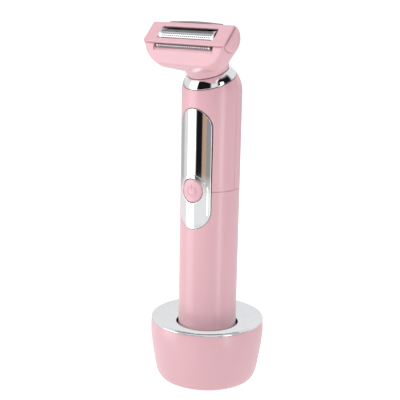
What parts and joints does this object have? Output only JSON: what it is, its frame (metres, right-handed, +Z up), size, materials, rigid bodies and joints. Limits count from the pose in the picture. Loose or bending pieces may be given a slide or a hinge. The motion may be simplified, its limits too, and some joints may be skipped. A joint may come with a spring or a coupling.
{
  "type": "foil shaver",
  "caption": "Cordless foil shaver with a tilted T-shaped head, chrome collar and front panel, standing in a round charging base.",
  "frame": {"origin": "centre of the underside of the charging base, on the surface it stands on", "axes": "+Z up along the handpiece, -Y towards the power button side, +X to the right seen from the front"},
  "size_m": [0.0568, 0.0568, 0.1772],
  "materials": {
    "satin_pink_base": "satin moulded plastic",
    "chrome_dish": "vacuum-plated plastic, mirror bright",
    "white_well": "plain moulded plastic",
    "pink_plate": "fine-grained moulded plastic",
    "foot_rubber": "matt anti-slip rubber",
    "screw_steel": "zinc-plated steel",
    "board": "green solder mask",
    "socket_black": "black moulded plastic",
    "gold_barrel": "gold flash on brass",
    "spring_steel": "spring wire",
    "gold_pin": "gold-plated brass",
    "satin_pink_shell": "satin lacquered plastic",
    "chrome_collar": "vacuum-plated plastic, mirror bright",
    "chrome_panel": "vacuum-plated plastic, mirror bright",
    "pink_button": "satin moulded plastic",
    "white_inner": "plain moulded plastic",
    "gold_contact": "gold flash on brass",
    "cell_sleeve": "shrink sleeve",
    "nickel": "nickel strip",
    "switch_black": "black moulded plastic",
    "motor_steel": "drawn steel can",
    "cap_plastic": "natural nylon",
    "ferrite": "ferrite",
    "copper_winding": "enamelled copper winding",
    "shaft_steel": "ground steel",
    "acetal": "white acetal",
    "seal_rubber": "soft black rubber",
    "satin_pink_head": "satin moulded plastic",
    "foil_steel": "etched nickel foil",
    "comb_steel": "stamped stainless steel",
    "blade_steel": "hardened stainless steel",
    "carrier_grey": "dark acetal"
  },
  "bodies": {
    "base": {"base_bowl": "satin_pink_base", "base_chrome_top": "chrome_dish", "base_well": "white_well", "base_bottom_plate": "pink_plate", "foot_pad": "foot_rubber", "base_screws": "screw_steel", "base_circuit_board": "board", "dc_socket": "socket_black", "contact_pin_barrels": "gold_barrel", "contact_pin_springs": "spring_steel"},
    "pin_left": {"contact_pin_left": "gold_pin"},
    "pin_right": {"contact_pin_right": "gold_pin"},
    "handpiece": {"lower_body_shell": "satin_pink_shell", "upper_front_shell": "satin_pink_shell", "upper_rear_shell": "satin_pink_shell", "chrome_collar": "chrome_collar", "chrome_front_panel": "chrome_panel", "chassis": "white_inner", "charge_contacts": "gold_contact", "battery_cell": "cell_sleeve", "battery_lower_contact": "nickel", "battery_upper_contact": "nickel", "circuit_board": "board", "board_screws": "screw_steel", "tact_switch": "switch_black", "motor_can": "motor_steel", "motor_end_cap": "cap_plastic", "motor_magnets": "ferrite", "motor_mount": "white_inner", "motor_screws": "screw_steel", "head_socket": "white_inner"},
    "button": {"power_button": "pink_button"},
    "rotor": {"motor_armature": "copper_winding", "motor_shaft": "shaft_steel", "eccentric_cam": "acetal", "drive_pin": "shaft_steel"},
    "neck_ring": {"neck_o_ring": "seal_rubber"},
    "head": {"head_housing": "satin_pink_head", "release_spring_left": "spring_steel", "release_spring_right": "spring_steel"},
    "release_left": {"release_button_left": "satin_pink_head"},
    "release_right": {"release_button_right": "satin_pink_head"},
    "foil_cassette": {"foil_frame": "satin_pink_head", "shaving_foil": "foil_steel", "foil_clip_left": "white_inner", "foil_clip_right": "white_inner", "front_trimmer_comb": "comb_steel", "rear_trimmer_comb": "comb_steel"},
    "blade_slide": {"blade_carrier": "acetal", "front_trimmer_blade": "blade_steel", "rear_trimmer_blade": "blade_steel", "cutter_springs": "spring_steel"},
    "cutter": {"cutter_carrier": "carrier_grey", "cutter_block": "blade_steel"}
  },
  "joints": [
    {"name": "handpiece_lift", "type": "slide", "parent": "base", "child": "handpiece", "axis": [0, 0, 1], "range_m": [0, 0.045]},
    {"name": "contact_pin_left_press", "type": "slide", "parent": "base", "child": "pin_left", "axis": [0, 0, 1], "range_m": [-0.001, 0], "stiffness_N_per_m": 200, "springref_m": 0.001},
    {"name": "contact_pin_right_press", "type": "slide", "parent": "base", "child": "pin_right", "axis": [0, 0, 1], "range_m": [-0.001, 0], "stiffness_N_per_m": 200, "springref_m": 0.001},
    {"name": "power_button_press", "type": "slide", "parent": "handpiece", "child": "button", "axis": [0, 1, 0], "range_m": [0, 0.0005], "stiffness_N_per_m": 800, "springref_m": -0.0005},
    {"name": "motor_spin", "type": "hinge", "parent": "handpiece", "child": "rotor", "pos_m": [0, 0, 0.1445], "axis": [0, -0.3584, 0.9336], "continuous": true},
    {"name": "head_pull", "type": "slide", "parent": "handpiece", "child": "neck_ring", "axis": [0, -0.3584, 0.9336], "range_m": [0, 0.025]},
    {"name": "head_twist", "type": "hinge", "parent": "neck_ring", "child": "head", "pos_m": [0, 0, 0.1445], "axis": [0, -0.3584, 0.9336], "range_deg": [0, 30]},
    {"name": "release_left_press", "type": "slide", "parent": "head", "child": "release_left", "axis": [1, 0, 0], "range_m": [0, 0.0012], "stiffness_N_per_m": 400, "springref_m": -0.001},
    {"name": "release_right_press", "type": "slide", "parent": "head", "child": "release_right", "axis": [-1, 0, 0], "range_m": [0, 0.0012], "stiffness_N_per_m": 400, "springref_m": -0.001},
    {"name": "foil_cassette_lift", "type": "slide", "parent": "head", "child": "foil_cassette", "axis": [0, -0.7193, 0.6947], "range_m": [0, 0.012]},
    {"name": "blade_reciprocate", "type": "slide", "parent": "head", "child": "blade_slide", "axis": [1, 0, 0], "range_m": [-0.001, 0.001]},
    {"name": "cutter_float", "type": "slide", "parent": "blade_slide", "child": "cutter", "axis": [0, -0.7193, 0.6947], "range_m": [-0.0008, 0], "stiffness_N_per_m": 300, "springref_m": 0.001}
  ]
}
